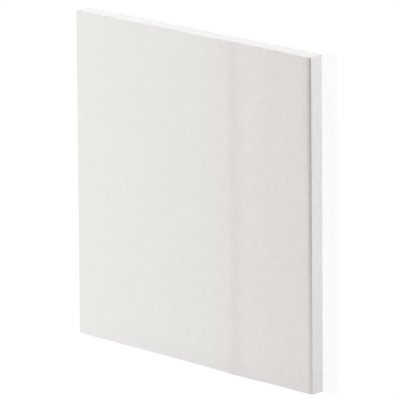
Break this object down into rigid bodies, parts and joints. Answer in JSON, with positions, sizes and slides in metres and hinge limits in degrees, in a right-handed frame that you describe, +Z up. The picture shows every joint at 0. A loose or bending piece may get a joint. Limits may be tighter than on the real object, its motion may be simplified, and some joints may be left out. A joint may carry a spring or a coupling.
{
  "type": "drywall sheet",
  "caption": "Square offcut of drywall sheet: flat paper-faced gypsum board with one tapered, paper-wrapped edge and three sawn sides, for lining walls and ceilings.",
  "frame": {"origin": "centre of the back face, on the floor that the sheet lies on", "axes": "+X across the board towards its tapered, wrapped edge, +Y along the board, +Z up out of the face"},
  "size_m": [0.24, 0.241, 0.0125],
  "materials": {
    "board_paper": "matte"
  },
  "bodies": {
    "root": {"drywall_sheet": "board_paper"}
  },
  "joints": []
}
